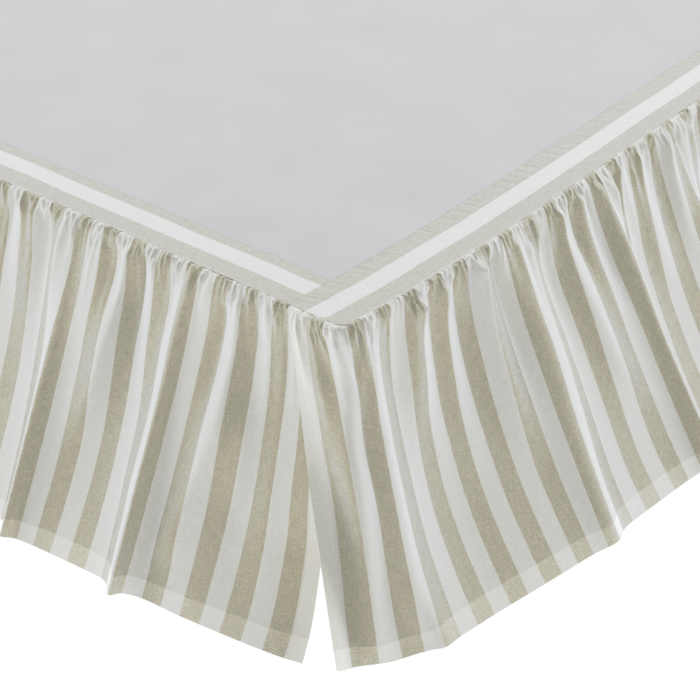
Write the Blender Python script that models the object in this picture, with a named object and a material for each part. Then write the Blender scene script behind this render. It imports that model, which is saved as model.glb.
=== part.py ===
"""Bed skirt with a gathered, striped ruffle, on the plain bed base that it falls over.

A flat deck lies on the base, with a facing band sewn round its two sides and its foot. A ruffle
hangs from each band, gathered at the seam and flared at the hem. At both foot corners the ruffle
is split: the side ruffle turns the corner and laps over the free end of the foot ruffle. The head
side is open. Metres, +Z up, +Y towards the head of the bed, the floor at Z = 0, and the origin
under the middle of the footprint.
"""

import math
from collections import namedtuple

import bmesh
import bpy

MM = 0.001

# A queen size deck, 60 by 80 in, with a 16 in drop of cloth from the seam to the hem. A side band
# shows three whole stripes, and the foot band a little less of its inner one.
DECK_WIDTH = 1524 * MM
DECK_LENGTH = 2032 * MM
DROP = 406 * MM
STRIPE = 25.4 * MM
BAND_WIDTH = 3 * STRIPE
FOOT_BAND_WIDTH = 67 * MM
CLOTH = 2 * MM
FLAT_CLOTH = 1.5 * MM
SEAM_GAP = 0.3 * MM

# The seam line turns the foot corners on a small radius, and bows out a little beyond them.
CORNER_RADIUS = 12 * MM
EDGE_BOW = 12 * MM
BOW_PEAK = 300 * MM

# The base: a covered box on turned legs. The cloth clears its sides.
BASE_TOP = 400 * MM
BASE_BOTTOM = 165 * MM
BASE_INSET = 5 * MM
BASE_CORNER_RADIUS = 30 * MM
BASE_EDGE_BEVEL = 4 * MM
LEG_TOP_RADIUS = 30 * MM
LEG_FOOT_RADIUS = 20 * MM
LEG_INSET = 130 * MM
LEG_SIDES = 24

# The flared foot ruffle reaches further out than the head edge, so the deck sits towards +Y.
HEM_REACH = 178 * MM
FOOT_Y = -DECK_LENGTH / 2 + HEM_REACH / 2
HEAD_Y = FOOT_Y + DECK_LENGTH
HALF_WIDTH = DECK_WIDTH / 2
DECK_BOTTOM = BASE_TOP + SEAM_GAP
DECK_TOP = DECK_BOTTOM + FLAT_CLOTH
SEAM_Z = DECK_BOTTOM + FLAT_CLOTH / 2

# Each row of a ruffle is one line of cloth from the seam to the hem. stripe counts stripes of
# cloth from the ruffle's end, seam is the distance of its top from the corner, and hem_along and
# hem_out place its lower end from that corner, along the edge and out from it. sag is how far its
# middle hangs inside the straight line between them. All but stripe are in millimetres.
FoldRow = namedtuple("FoldRow", "stripe seam hem_along hem_out sag")

SIDE_CORNER_FOLDS = (
    FoldRow(0.0, -66, -104, 72, 14),
    FoldRow(1.0, -41, -76, 80, 8),
    FoldRow(2.0, -20, -46, 90, -2),
    FoldRow(3.0, 4, -18, 101, 9),
    FoldRow(4.2, 27, 8, 119, 4),
    FoldRow(5.0, 45, 20, 133, 20),
    FoldRow(6.0, 66, 47, 136, 30),
    FoldRow(8.0, 109, 101, 147, 36),
    FoldRow(10.0, 152, 152, 157, 32),
    FoldRow(12.0, 195, 203, 168, 25),
    FoldRow(14.0, 238, 251, 180, 15),
    FoldRow(15.8, 277, 284, 193, 2),
)
FOOT_CORNER_FOLDS = (
    FoldRow(0.0, 22, -18, 100, 36),
    FoldRow(1.0, 37, 4, 107, 34),
    FoldRow(2.0, 55, 31, 112, 30),
    FoldRow(4.0, 94, 87, 121, 28),
    FoldRow(6.0, 135, 140, 130, 12),
    FoldRow(8.0, 177, 193, 137, 5),
    FoldRow(9.0, 199, 214, 149, 5),
    FoldRow(9.8, 216, 217, 166, 1),
)
# One more fold of a ruffle, in the same columns: stripes and seam run on from the last crest,
# hem_along is measured from the row's own seam point, hem_out from the ruffle's own valley line,
# and the last row is the next crest.
FOLD_SHAPE = (
    FoldRow(1.6, 35, -9, 0, 12),
    FoldRow(3.2, 69, -2, 3, 20),
    FoldRow(4.8, 104, 5, 8, 18),
    FoldRow(6.4, 139, 10, 14, 10),
    FoldRow(7.4, 160, 10, 20, 3),
    FoldRow(8.2, 177, 4, 31, 0),
)
# How the further folds differ from each other, taken in turn: height of the crest and drift of
# the hem along the edge in millimetres, and the fold's width as a share of the usual one.
FoldVariety = namedtuple("FoldVariety", "height drift width")
FOLD_VARIETY = (
    FoldVariety(3, 14, 1.06),
    FoldVariety(-4, 10, 1.04),
    FoldVariety(2, -1, 0.96),
    FoldVariety(-8, 2, 1.05),
    FoldVariety(0, 5, 0.94),
    FoldVariety(6, -4, 1.00),
    FoldVariety(-3, -2, 0.97),
)
# How far out the hem stands between the crests, and how much less with each fold from the corner.
SIDE_VALLEY = 182
SIDE_EASE = 3
FOOT_VALLEY = 140
SIDE_FOLDS = 10
FOOT_FOLDS = 6
# A side ruffle ends this far short of the head edge, in millimetres as in the tables.
HEAD_GAP = 4

# The rows of points down each ruffle, as shares of the drop. The cloth puffs out under the seam.
DROP_SHARES = (0.0, 0.04, 0.28, 0.52, 0.76, 1.0)
PUFF = 2.5 * MM
PUFF_SHARE = 0.04
# Where a side ruffle turns on to the foot edge, from LAP_END on, its top stands this far off.
LAP_STEP = 4.5 * MM
LAP_END = 2
# Columns of points are this many stripes apart at most, and closer where a ruffle turns a corner.
WIDEST_COLUMN = 0.8
CORNER_COLUMN = 0.35
CORNER_REACH = 21


def clear_scene():
    """Remove whatever the file opened with."""
    for old in list(bpy.data.objects):
        bpy.data.objects.remove(old, do_unlink=True)


def cloth_material(name, colour, roughness):
    """Plain Principled material for one piece."""
    material = bpy.data.materials.new(name)
    material.use_nodes = True
    shader = material.node_tree.nodes["Principled BSDF"]
    shader.inputs["Base Color"].default_value = (*colour, 1.0)
    shader.inputs["Roughness"].default_value = roughness
    shader.inputs["Metallic"].default_value = 0.0
    material.diffuse_color = (*colour, 1.0)
    return material


def link_mesh(name, mesh, material):
    """Put a finished mesh in the scene as one named piece."""
    mesh.materials.append(material)
    piece = bpy.data.objects.new(name, mesh)
    bpy.context.scene.collection.objects.link(piece)
    return piece


def plate(name, outline, bottom, top, material):
    """Flat piece with the given outline, seen from above, between two heights."""
    shape = bmesh.new()
    corners = [shape.verts.new((x, y, bottom)) for x, y in outline]
    face = shape.faces.new(corners)
    lifted = bmesh.ops.extrude_face_region(shape, geom=[face])["geom"]
    for vertex in lifted:
        if isinstance(vertex, bmesh.types.BMVert):
            vertex.co.z = top
    bmesh.ops.recalc_face_normals(shape, faces=shape.faces)
    mesh = bpy.data.meshes.new(name)
    shape.to_mesh(mesh)
    shape.free()
    return link_mesh(name, mesh, material)


def edge_bow(y):
    """How far a side seam bows out at a place along the bed, from the rounded corner on."""
    run = max(y - FOOT_Y - CORNER_RADIUS, 0) / BOW_PEAK
    return EDGE_BOW * run * math.exp(1 - run)


def side_line(inset, start, end, steps=14, crowding=1.6):
    """Points along the +X side, this far inside the seam, closer together near the foot."""
    places = [start + (end - start) * (n / steps) ** crowding for n in range(steps + 1)]
    return [(HALF_WIDTH - inset + edge_bow(y), y) for y in places]


def foot_corner(steps=4):
    """Points round the +X foot corner of the seam line, from the foot edge to the side."""
    centre_x = HALF_WIDTH - CORNER_RADIUS
    centre_y = FOOT_Y + CORNER_RADIUS
    turns = [math.pi / 2 * n / steps for n in range(steps + 1)]
    return [
        (centre_x + CORNER_RADIUS * math.sin(turn), centre_y - CORNER_RADIUS * math.cos(turn))
        for turn in turns
    ]


def mirrored(points, side):
    """The same outline on the +X side (side = 1) or the -X side (side = -1)."""
    return [(side * x, y) for x, y in points]


def add_deck():
    """Flat panel under the mattress, between the bands and open at the head."""
    start = FOOT_Y + FOOT_BAND_WIDTH + SEAM_GAP
    right = side_line(BAND_WIDTH + SEAM_GAP, start, HEAD_Y)
    left = mirrored(reversed(right), -1)
    grey = cloth_material("deck cloth", (0.62, 0.62, 0.64), 0.9)
    plate("deck_panel", right + left, DECK_BOTTOM, DECK_TOP, grey)


def add_bands():
    """Facing bands: the side bands run through to the foot edge, the foot band butts them."""
    striped = cloth_material("band cloth", (0.67, 0.67, 0.62), 0.85)
    side_start = FOOT_Y + CORNER_RADIUS
    outer = foot_corner() + side_line(0, side_start, HEAD_Y)[1:]
    inner = side_line(BAND_WIDTH, FOOT_Y, HEAD_Y)
    outline = outer + list(reversed(inner))
    for name, side in (("side_band_right", 1), ("side_band_left", -1)):
        plate(name, mirrored(outline, side), DECK_BOTTOM, DECK_TOP, striped)
    far_y = FOOT_Y + FOOT_BAND_WIDTH
    end = side_line(BAND_WIDTH + SEAM_GAP, FOOT_Y, far_y, steps=3)
    outline = end + mirrored(reversed(end), -1)
    plate("foot_band", outline, DECK_BOTTOM, DECK_TOP, striped)


def side_seam(distance):
    """Point on the side seam line and its outward direction. Below 0 it is on the foot edge."""
    half_turn = CORNER_RADIUS * math.pi / 4
    if distance < -half_turn:
        point = (HALF_WIDTH - CORNER_RADIUS + distance + half_turn, FOOT_Y)
        return point, (0.0, -1.0)
    if distance < half_turn:
        turn = (distance + half_turn) / CORNER_RADIUS
        outward = (math.sin(turn), -math.cos(turn))
        centre = (HALF_WIDTH - CORNER_RADIUS, FOOT_Y + CORNER_RADIUS)
        return tuple(c + CORNER_RADIUS * o for c, o in zip(centre, outward)), outward
    y = FOOT_Y + CORNER_RADIUS + distance - half_turn
    return (HALF_WIDTH + edge_bow(y), y), (1.0, 0.0)


def foot_seam(distance):
    """Point on the foot seam line, measured from the +X corner towards -X."""
    return (HALF_WIDTH - distance, FOOT_Y), (0.0, -1.0)


def side_hem(along, out):
    return HALF_WIDTH + out, FOOT_Y + along


def foot_hem(along, out):
    return HALF_WIDTH - along, FOOT_Y - out


def further_folds(rows, folds, end_crest, valley, ease, first_variety):
    """Rows for that many more folds, up to a crest at end_crest on the seam."""
    rows = list(rows)
    turn = [FOLD_VARIETY[(first_variety + n) % len(FOLD_VARIETY)] for n in range(folds)]
    run = end_crest - rows[-1].seam
    widths = sum(variety.width for variety in turn)
    last = FOLD_SHAPE[-1]
    for number, variety in enumerate(turn):
        crest = rows[-1]
        stretch = run * variety.width / widths / last.seam
        line = valley - ease * number
        for step in FOLD_SHAPE:
            seam = crest.seam + step.seam * stretch
            along = seam + step.hem_along + variety.drift
            out = line + step.hem_out * (1 + variety.height / last.hem_out)
            rows.append(FoldRow(crest.stripe + step.stripe, seam, along, out, step.sag))
    return rows


def side_rows(first_variety):
    """A side ruffle: the lapped corner, then even folds up to a plain hemmed end at the head."""
    end = DECK_LENGTH / MM - HEAD_GAP
    rows = further_folds(
        SIDE_CORNER_FOLDS, SIDE_FOLDS, end, SIDE_VALLEY, SIDE_EASE, first_variety
    )
    rows[-1] = FoldRow(rows[-1].stripe, end, end, rows[-2].hem_out, rows[-2].sag)
    return rows


def foot_rows():
    """The foot ruffle: a corner, even folds, and the same corner again at the other end."""
    width = DECK_WIDTH / MM
    end_crest = width - FOOT_CORNER_FOLDS[-1].seam
    rows = further_folds(FOOT_CORNER_FOLDS, FOOT_FOLDS, end_crest, FOOT_VALLEY, 0, 2)
    total = rows[-1].stripe + FOOT_CORNER_FOLDS[-1].stripe
    rows.pop()
    for row in reversed(FOOT_CORNER_FOLDS):
        along = width - row.hem_along
        rows.append(FoldRow(total - row.stripe, width - row.seam, along, row.hem_out, row.sag))
    return rows


def between(rows, stripe):
    """The row at any count of stripes, on a smooth curve through the given rows."""
    last = len(rows) - 1
    index = next((n for n in range(last) if stripe <= rows[n + 1].stripe), last - 1)
    near = [rows[min(max(index + n, 0), last)] for n in (-1, 0, 1, 2)]
    span = near[2].stripe - near[1].stripe
    share = (stripe - near[1].stripe) / span
    values = []
    for before, start, end, after in zip(*near):
        slope_in = (end - before) / max(near[2].stripe - near[0].stripe, span)
        slope_out = (after - start) / max(near[3].stripe - near[1].stripe, span)
        rise = end - start
        curve = (slope_in + slope_out) * span - 2 * rise
        bend = 3 * rise - (2 * slope_in + slope_out) * span
        values.append(start + slope_in * span * share + bend * share**2 + curve * share**3)
    return FoldRow(*values)


def lap_lift(row):
    """How far a side ruffle's top stands off the foot edge, over the foot ruffle's free end."""
    return LAP_STEP * min(max((LAP_END - row.seam) * MM / CORNER_RADIUS, 0), 1)


def cloth_line(row, seam, hem, lapped):
    """Points of one line of cloth from the seam to the hem, all DROP long or nearly so."""
    (top_x, top_y), (out_x, out_y) = seam(row.seam * MM)
    start = CLOTH / 2 + SEAM_GAP
    if lapped:
        start += lap_lift(row)
    top_x += out_x * start
    top_y += out_y * start
    hem_x, hem_y = hem(row.hem_along * MM, row.hem_out * MM)
    reach = math.hypot(hem_x - top_x, hem_y - top_y)
    fall = math.sqrt(DROP**2 - reach**2)
    toward = ((hem_x - top_x) / reach, (hem_y - top_y) / reach)
    points = []
    for share in DROP_SHARES:
        puff = PUFF * math.exp(1 - share / PUFF_SHARE) * share / PUFF_SHARE
        out = reach * share - row.sag * MM * 4 * share * (1 - share)
        x = top_x + toward[0] * out + out_x * puff
        y = top_y + toward[1] * out + out_y * puff
        points.append((x, y, SEAM_Z - fall * share))
    return points


def add_ruffle(name, rows, seam, hem, side, material, lapped):
    """Hang one gathered ruffle: a sheet through its cloth lines, thickened both ways."""
    stripes = []
    for row, following in zip(rows, rows[1:]):
        gap = following.stripe - row.stripe
        widest = CORNER_COLUMN if abs(row.seam) < CORNER_REACH else WIDEST_COLUMN
        parts = math.ceil(gap / widest)
        stripes += [row.stripe + gap * n / parts for n in range(parts)]
    stripes.append(rows[-1].stripe)
    sheet = bmesh.new()
    columns = []
    for stripe in stripes:
        line = cloth_line(between(rows, stripe), seam, hem, lapped)
        columns.append([sheet.verts.new((side * x, y, z)) for x, y, z in line])
    for left, right in zip(columns, columns[1:]):
        for n in range(len(DROP_SHARES) - 1):
            sheet.faces.new((left[n], left[n + 1], right[n + 1], right[n]))
    mesh = bpy.data.meshes.new(name)
    sheet.to_mesh(mesh)
    sheet.free()
    mesh.shade_smooth()
    piece = link_mesh(name, mesh, material)
    thicken = piece.modifiers.new("cloth thickness", "SOLIDIFY")
    thicken.thickness = CLOTH
    thicken.offset = 0.0
    return piece


def add_ruffles():
    """One ruffle on the foot band, and one on each side band that laps over its end."""
    striped = cloth_material("ruffle cloth", (0.64, 0.63, 0.57), 0.85)
    add_ruffle("foot_ruffle", foot_rows(), foot_seam, foot_hem, 1, striped, lapped=False)
    sides = (("side_ruffle_right", 1, 0), ("side_ruffle_left", -1, 3))
    for name, side, variety in sides:
        rows = side_rows(variety)
        add_ruffle(name, rows, side_seam, side_hem, side, striped, lapped=True)


def add_base():
    """Covered box that the deck lies on, with rounded upright corners and eased edges."""
    half_x = HALF_WIDTH - BASE_INSET
    low_y = FOOT_Y + BASE_INSET
    high_y = HEAD_Y - BASE_INSET
    outline = []
    steps = 5
    corners = ((half_x, high_y, 0), (-half_x, high_y, 1), (-half_x, low_y, 2), (half_x, low_y, 3))
    for x, y, quarter in corners:
        centre_x = x - math.copysign(BASE_CORNER_RADIUS, x)
        centre_y = y + (BASE_CORNER_RADIUS if y == low_y else -BASE_CORNER_RADIUS)
        for n in range(steps + 1):
            turn = math.pi / 2 * (quarter + n / steps)
            outline.append(
                (
                    centre_x + BASE_CORNER_RADIUS * math.cos(turn),
                    centre_y + BASE_CORNER_RADIUS * math.sin(turn),
                )
            )
    cover = cloth_material("base cover", (0.72, 0.70, 0.66), 0.9)
    base = plate("bed_base", outline, BASE_BOTTOM, BASE_TOP, cover)
    ease = base.modifiers.new("eased edges", "BEVEL")
    ease.width = BASE_EDGE_BEVEL
    ease.segments = 2
    ease.limit_method = "ANGLE"
    ease.angle_limit = math.radians(60)


def add_legs():
    """Six tapered wooden legs under the base, with flat feet on the floor."""
    wood = cloth_material("leg wood", (0.42, 0.28, 0.16), 0.5)
    top = BASE_BOTTOM - SEAM_GAP
    for side, across in (("right", 1), ("left", -1)):
        x = across * (HALF_WIDTH - LEG_INSET)
        places = (
            ("foot", FOOT_Y + LEG_INSET),
            ("middle", (FOOT_Y + HEAD_Y) / 2),
            ("head", HEAD_Y - LEG_INSET),
        )
        for end, y in places:
            bpy.ops.mesh.primitive_cone_add(
                vertices=LEG_SIDES,
                radius1=LEG_FOOT_RADIUS,
                radius2=LEG_TOP_RADIUS,
                depth=top,
                location=(x, y, top / 2),
            )
            leg = bpy.context.active_object
            leg.name = f"leg_{end}_{side}"
            leg.data.name = leg.name
            leg.data.materials.append(wood)
            leg.data.shade_smooth()
            leg.data.set_sharp_from_angle(angle=math.radians(40))


clear_scene()
add_base()
add_legs()
add_deck()
add_bands()
add_ruffles()
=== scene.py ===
"""Looks of a gathered, striped bed skirt, lying on the plain bed base that it falls over."""

import math
import random
from collections import namedtuple

import bpy
import numpy as np
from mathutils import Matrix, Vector


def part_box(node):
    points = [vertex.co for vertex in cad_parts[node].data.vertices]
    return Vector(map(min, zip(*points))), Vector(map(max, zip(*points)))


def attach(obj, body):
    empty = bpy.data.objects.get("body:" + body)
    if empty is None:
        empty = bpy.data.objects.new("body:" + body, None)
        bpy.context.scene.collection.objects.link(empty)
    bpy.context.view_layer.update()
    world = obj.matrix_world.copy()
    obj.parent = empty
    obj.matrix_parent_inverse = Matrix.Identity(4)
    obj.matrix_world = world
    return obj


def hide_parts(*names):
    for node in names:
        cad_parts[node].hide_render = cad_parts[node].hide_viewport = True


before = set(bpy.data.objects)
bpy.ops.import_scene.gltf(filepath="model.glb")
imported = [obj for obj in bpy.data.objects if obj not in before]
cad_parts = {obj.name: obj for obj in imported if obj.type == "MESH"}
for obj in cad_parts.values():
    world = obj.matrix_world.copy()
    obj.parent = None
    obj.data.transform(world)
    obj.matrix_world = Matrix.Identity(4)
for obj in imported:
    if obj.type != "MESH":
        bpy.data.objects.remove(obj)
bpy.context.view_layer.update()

# ---- Legs
# Six short turned feet of oiled hardwood, wider at the top, screwed to the underside of the base.
# Each keeps the size of its solid; the lathe leaves its foot with a small round edge.
MM = 0.001
LEG_SIDES = 48
LEG_TOP_RADIUS = 30 * MM
LEG_FOOT_RADIUS = 20 * MM
LEG_ROUND = 2.5 * MM
ROUND_ABOVE = 50  # degrees between faces; sharper edges are rounded
SMOOTH_BELOW = 35  # degrees between faces; blunter edges are shaded smooth
WOOD_DARK = (0.20, 0.105, 0.05)
WOOD_LIGHT = (0.36, 0.21, 0.11)
WOOD_GRAIN = (160, 160, 9)  # turns of the noise per metre, across and down the leg
BROAD_GRAIN = 0.22  # share of those turns in the broad figure of the wood
LEGS = [f"leg_{end}_{side}" for end in ("foot", "middle", "head") for side in ("right", "left")]


class Wire:
    """The output of a shader node. Arithmetic on it adds Math nodes to the same tree."""

    def __init__(self, tree, socket):
        self.tree = tree
        self.socket = socket

    def node(self, kind, settings=(), inputs=(), output=0):
        """Add a node of that kind, set it, link or fill its sockets, and give one output."""
        made = self.tree.nodes.new(kind)
        for name, value in dict(settings).items():
            setattr(made, name, value)
        for name, value in dict(inputs).items():
            if isinstance(value, Wire):
                self.tree.links.new(value.socket, made.inputs[name])
            else:
                made.inputs[name].default_value = value
        return Wire(self.tree, made.outputs[output])

    def maths(self, operation, *values):
        settings = {"operation": operation}
        return self.node("ShaderNodeMath", settings, enumerate(values))

    def __add__(self, other):
        return self.maths("ADD", self, other)

    def __sub__(self, other):
        return self.maths("SUBTRACT", self, other)

    def __rsub__(self, other):
        return self.maths("SUBTRACT", other, self)

    def __mul__(self, other):
        return self.maths("MULTIPLY", self, other)

    def __truediv__(self, other):
        return self.maths("DIVIDE", self, other)

    __radd__ = __add__
    __rmul__ = __mul__

    def clamped(self):
        return self.node("ShaderNodeClamp", (), {"Value": self})

    def blend(self, dark, light):
        """The colour between two colours, dark at 0 and light at 1."""
        picked = {0: self, 6: rgba(dark), 7: rgba(light)}
        return self.node("ShaderNodeMix", {"data_type": "RGBA"}, picked, output=2)

    def scaled(self, amount):
        """The colour made darker or lighter."""
        values = {0: self, "Scale": amount}
        return self.node("ShaderNodeVectorMath", {"operation": "SCALE"}, values)


def rgba(colour):
    return colour if isinstance(colour, Wire) else (*colour, 1.0)


def new_finish(name, roughness, sheen=0.0):
    """A Principled material with its fixed values. Gives the material, a Wire and the shader."""
    finish = bpy.data.materials.new(name)
    finish.use_nodes = True
    shader = finish.node_tree.nodes["Principled BSDF"]
    shader.inputs["Roughness"].default_value = roughness
    shader.inputs["Sheen Weight"].default_value = sheen
    shader.inputs["Sheen Roughness"].default_value = 0.35
    shader.inputs["Sheen Tint"].default_value = (0.72, 0.85, 1.0, 1.0)
    return finish, Wire(finish.node_tree, None), shader


def feed(wire, shader, socket):
    wire.tree.links.new(wire.socket, shader.inputs[socket])


def deselect():
    """Leave nothing selected, so that the next operator acts on the new piece alone."""
    bpy.ops.object.select_all(action="DESELECT")


def carry(piece, slot, *nodes):
    """Let a finished piece stand for its solids and ride on the bed. Its slot is not used."""
    deselect()
    piece.select_set(True)
    bpy.context.view_layer.objects.active = piece
    bpy.ops.object.transform_apply(location=True, rotation=True, scale=True)
    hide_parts(*nodes)
    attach(piece, "root")


def leg_finish():
    """Oiled hardwood, its grain running down the leg."""
    finish, start, shader = new_finish("oiled wood", roughness=0.42)
    place = start.node("ShaderNodeTexCoord", output="Object")
    fine = start.node("ShaderNodeMapping", (), {"Vector": place, "Scale": WOOD_GRAIN})
    grain = start.node("ShaderNodeTexNoise", (), {"Vector": fine, "Scale": 1.0, "Detail": 6.0})
    figure = {"Vector": fine, "Scale": BROAD_GRAIN, "Detail": 2.0}
    broad = start.node("ShaderNodeTexNoise", (), figure)
    shade = (grain * 0.65 + broad * 0.5 - 0.1).clamped()
    feed(shade.blend(WOOD_DARK, WOOD_LIGHT), shader, "Base Color")
    feed(0.36 + grain * 0.16, shader, "Roughness")
    bump = start.node("ShaderNodeBump", (), {"Height": grain, "Strength": 0.25, "Distance": MM})
    feed(bump, shader, "Normal")
    return finish


wood = leg_finish()
for name in LEGS:
    low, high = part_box(name)
    middle = (low + high) / 2
    deselect()
    bpy.ops.mesh.primitive_cone_add(
        vertices=LEG_SIDES,
        radius1=LEG_FOOT_RADIUS,
        radius2=LEG_TOP_RADIUS,
        depth=high.z - low.z,
        location=middle,
    )
    leg = bpy.context.active_object
    leg.name = f"{name}_turned"
    rounding = leg.modifiers.new("rounded ends", "BEVEL")
    rounding.width = LEG_ROUND
    rounding.segments = 3
    rounding.limit_method = "ANGLE"
    rounding.angle_limit = math.radians(ROUND_ABOVE)
    bpy.ops.object.modifier_apply(modifier=rounding.name)
    bpy.ops.object.shade_smooth_by_angle(angle=math.radians(SMOOTH_BELOW))
    leg.data.materials.append(wood)
    carry(leg, "leg_wood", name)

# ---- Base
# A plain box base: a wooden frame under a fitted cover of off-white woven cloth, with soft
# edges and rounded upright corners. The cover is tacked under the frame.
COVER_DARK = (0.60, 0.575, 0.53)
COVER_LIGHT = (0.70, 0.68, 0.64)
COVER_THREADS = 900.0  # turns of the noise per metre
COVER_CLOUDS = 12.0
BASE_CORNER = 30 * MM
BASE_EDGE = 5 * MM


def cover_finish():
    """Off-white woven cover, its threads showing as a fine even grain."""
    finish, start, shader = new_finish("woven cover", roughness=0.9, sheen=0.15)
    place = start.node("ShaderNodeTexCoord", output="Object")
    threads = {"Vector": place, "Scale": COVER_THREADS, "Detail": 2.0}
    weave = start.node("ShaderNodeTexNoise", (), threads)
    clouds = {"Vector": place, "Scale": COVER_CLOUDS, "Detail": 3.0}
    cloudy = start.node("ShaderNodeTexNoise", (), clouds)
    shade = (weave * 0.7 + cloudy * 0.5 - 0.1).clamped()
    feed(shade.blend(COVER_DARK, COVER_LIGHT), shader, "Base Color")
    height = weave * 0.4 + cloudy * 1.5
    bump = start.node("ShaderNodeBump", (), {"Height": height, "Strength": 0.5, "Distance": MM})
    feed(bump, shader, "Normal")
    return finish


base_low, base_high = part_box("bed_base")
base_size = base_high - base_low
deselect()
bpy.ops.mesh.primitive_cube_add(size=1.0, location=(base_low + base_high) / 2)
base = bpy.context.active_object
base.name = "covered_base"
base.scale = base_size
bpy.ops.object.transform_apply(location=True, rotation=True, scale=True)
upright = base.data.attributes.new("bevel_weight_edge", "FLOAT", "EDGE")
for edge in base.data.edges:
    start_point, end_point = (base.data.vertices[n].co for n in edge.vertices)
    upright.data[edge.index].value = float(abs(start_point.z - end_point.z) > MM)
corners = base.modifiers.new("round corners", "BEVEL")
corners.width = BASE_CORNER
corners.segments = 8
corners.limit_method = "WEIGHT"
edges = base.modifiers.new("soft edges", "BEVEL")
edges.width = BASE_EDGE
edges.segments = 4
edges.limit_method = "ANGLE"
edges.angle_limit = math.radians(ROUND_ABOVE)
for modifier in (corners, edges):
    bpy.ops.object.modifier_apply(modifier=modifier.name)
bpy.ops.object.shade_smooth_by_angle(angle=math.radians(SMOOTH_BELOW))
base.data.materials.append(cover_finish())
carry(base, "base_cover", "bed_base")

# ---- Deck
# The flat panel that lies on the base under the mattress: plain light grey cotton, cut to a
# queen size base and sewn inside the three bands. It lies loose, with faint ripples.
STRIPE = 25.4 * MM
BAND_WIDTH = 3 * STRIPE
DECK_WIDTH = 1524 * MM
HALF_WIDTH = DECK_WIDTH / 2
SEAM_GAP = 0.3 * MM
THICKNESS = 0.8 * MM
CORNER_RADIUS = 12 * MM
# A side seam bows out by this much at most, this far along it from the rounded corner.
EDGE_BOW = 12 * MM
BOW_PEAK = 300 * MM
DECK_CELL = 10 * MM
# The ripples' height, the mean lift of the cloth in such heights, and the ripples' two lengths.
RIPPLE = 0.88 * MM
RIPPLE_LIFT = 1.4
LONG_RIPPLE = 340 * MM
SHORT_RIPPLE = 120 * MM
# The shortest wave as a share of the longest, how far a wave's line wanders and how often, and
# the range of a random phase, in radians.
SHORTEST_WAVE = 0.35
WAVE_DRIFT = 0.9
DRIFT_PACE = 2.1
PHASES = 6
CLOTH_SMOOTH_BELOW = 60
# The plain weave, its slubs and the soft crinkles of washed cotton, with their heights in the
# finish. The scales are turns of the noise per metre, across and down the cloth.
THREAD_PITCH = 0.7 * MM
THREAD_HEIGHT = 0.12
WEFT_SLUBS = (85, 900)
WARP_SLUBS = (900, 75)
SLUB_HEIGHT = 0.8
CRINKLES = (70, 34)
CRINKLE_HEIGHT = 3.0
DECK_CLOUDS = (9, 9)
DECK_DARK = (0.507, 0.492, 0.512)
DECK_LIGHT = (0.568, 0.554, 0.574)
deck_low, deck_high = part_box("deck_panel")
foot_band_low, foot_band_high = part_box("foot_band")
FOOT_Y = foot_band_low.y
FOOT_BAND_WIDTH = foot_band_high.y - foot_band_low.y
HEAD_Y = deck_high.y
SEAM_Z = (deck_low.z + deck_high.z) / 2


def edge_bow(y):
    """How far a side seam bows out at a place along the bed."""
    run = np.maximum(y - FOOT_Y - CORNER_RADIUS, 0) / BOW_PEAK
    return EDGE_BOW * run * np.exp(1 - run)


def waves(x, y, seed, longest, count=7):
    """Faint uneven waves between -1 and 1, none longer than the given length."""
    draw = random.Random(seed)
    height = np.zeros_like(x)
    for _ in range(count):
        turn = draw.uniform(0, math.pi)
        length = longest * draw.uniform(SHORTEST_WAVE, 1)
        along = x * math.cos(turn) + y * math.sin(turn)
        across = y * math.cos(turn) - x * math.sin(turn)
        drift = WAVE_DRIFT * np.sin(across / longest * DRIFT_PACE + draw.uniform(0, PHASES))
        height += np.sin(along / length * 2 * math.pi + drift + draw.uniform(0, PHASES))
    return height / count


def lying_height(x, y):
    """Height of the cloth that lies on the base, the same for the deck and the bands."""
    long_swell = waves(x, y, seed=5, longest=LONG_RIPPLE)
    short_swell = waves(x, y, seed=8, longest=SHORT_RIPPLE)
    return SEAM_Z + RIPPLE * np.maximum(RIPPLE_LIFT + long_swell + 0.5 * short_swell, 0)


def cloth_sheet(name, points, flat, thickness):
    """A closed thin sheet through a grid of points, with its flat place in a UV map."""
    columns, rows = points.shape[:2]
    mesh = bpy.data.meshes.new(name)
    first = np.arange((columns - 1) * rows).reshape(columns - 1, rows)[:, :-1].ravel()
    faces = np.stack([first, first + 1, first + rows + 1, first + rows], axis=1)
    mesh.from_pydata(points.reshape(-1, 3).tolist(), [], faces.tolist())
    lay_flat(mesh, flat.reshape(-1, 2))
    return thicken(name, mesh, thickness)


def lay_flat(mesh, flat):
    """Give each corner of each face its place on the flat cloth, in metres."""
    layer = mesh.uv_layers.new(name="cloth")
    corners_of = np.zeros(len(mesh.loops), np.int32)
    mesh.loops.foreach_get("vertex_index", corners_of)
    layer.data.foreach_set("uv", flat[corners_of].astype(np.float32).ravel())


def thicken(name, mesh, thickness):
    """Put the sheet in the scene with its thickness, half to each side."""
    piece = bpy.data.objects.new(name, mesh)
    bpy.context.scene.collection.objects.link(piece)
    deselect()
    piece.select_set(True)
    bpy.context.view_layer.objects.active = piece
    cloth = piece.modifiers.new("cloth", "SOLIDIFY")
    cloth.thickness = thickness
    cloth.offset = 0.0
    bpy.ops.object.modifier_apply(modifier=cloth.name)
    bpy.ops.object.shade_smooth_by_angle(angle=math.radians(CLOTH_SMOOTH_BELOW))
    return piece


def cloth_place(start):
    """The two ways across the flat cloth, in metres, from the piece's own UV map."""
    place = start.node("ShaderNodeUVMap", {"uv_map": "cloth"})
    across = start.node("ShaderNodeSeparateXYZ", (), {"Vector": place}, output="X")
    down = start.node("ShaderNodeSeparateXYZ", (), {"Vector": place}, output="Y")
    return place, across, down


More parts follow.
